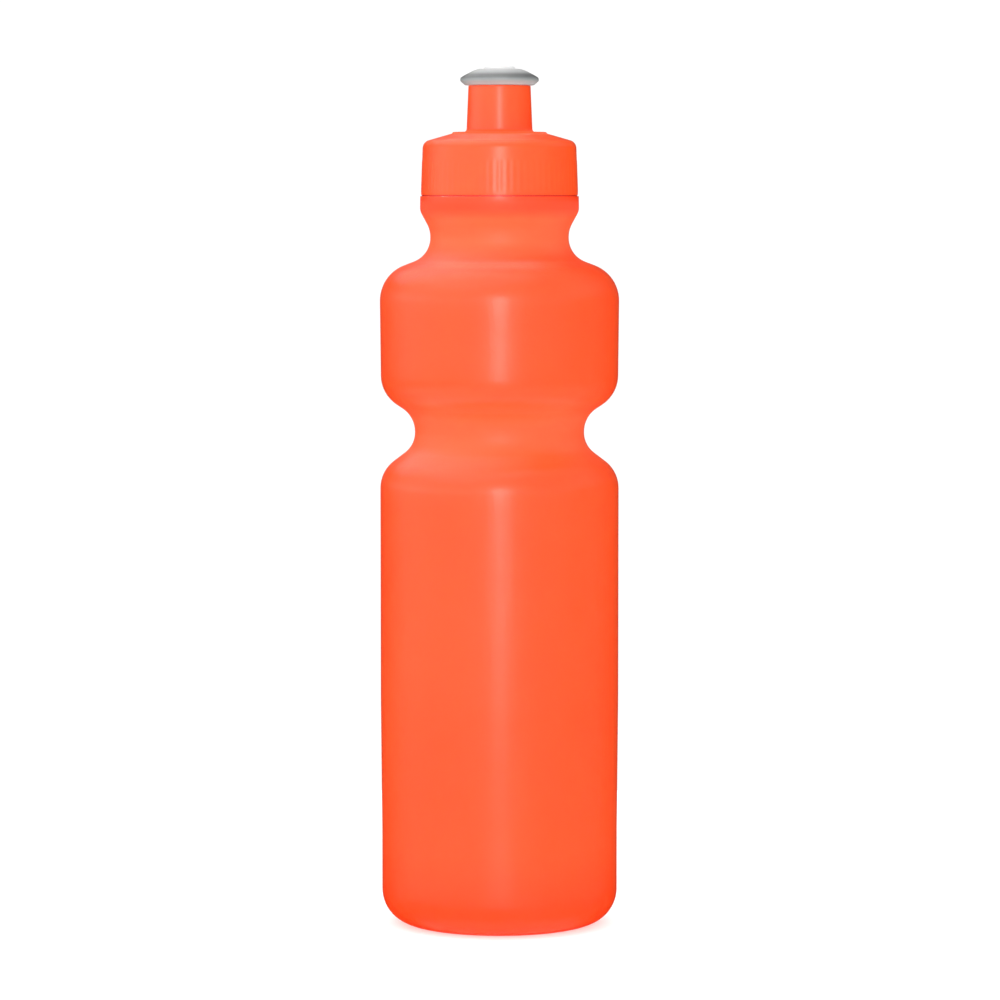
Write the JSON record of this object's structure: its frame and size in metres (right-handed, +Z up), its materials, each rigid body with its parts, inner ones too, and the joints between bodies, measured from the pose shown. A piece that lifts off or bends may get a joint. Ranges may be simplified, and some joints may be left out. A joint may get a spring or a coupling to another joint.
{
  "type": "sports squeeze bottle",
  "caption": "Squeeze drinking bottle with a pinched grip waist, a screw cap with a spout tube and a push-pull mouthpiece.",
  "frame": {"origin": "centre of the face that the bottle stands on", "axes": "+Z up along the bottle's axis, from the base to the mouthpiece; +X to the right as seen from the front, +Y away from the viewer"},
  "size_m": [0.0736, 0.0736, 0.265],
  "materials": {
    "bottle_plastic": "translucent orange-red low-density polyethylene, satin",
    "cap_plastic": "orange-red polyethylene, semi-gloss",
    "seal_rubber": "off-white soft elastomer, matte",
    "mouthpiece_plastic": "frosted clear-grey plastic"
  },
  "bodies": {
    "bottle": {"bottle_body": "bottle_plastic"},
    "seal_carrier": {"cap_seal": "seal_rubber"},
    "cap": {"screw_cap": "cap_plastic"},
    "valve": {"mouthpiece": "mouthpiece_plastic"}
  },
  "joints": [
    {"name": "cap_lift", "type": "slide", "parent": "bottle", "child": "seal_carrier", "axis": [0, 0, 1], "range_m": [0, 0.0175]},
    {"name": "cap_turn", "type": "hinge", "parent": "seal_carrier", "child": "cap", "pos_m": [0, 0, 0.234], "axis": [0, 0, 1], "range_deg": [0, 1260]},
    {"name": "valve_pull", "type": "slide", "parent": "cap", "child": "valve", "axis": [0, 0, 1], "range_m": [0, 0.006]}
  ],
  "couplings": [
    {"joint": "cap_lift", "follows": "cap_turn", "m_per_rad": 0.00079577}
  ]
}
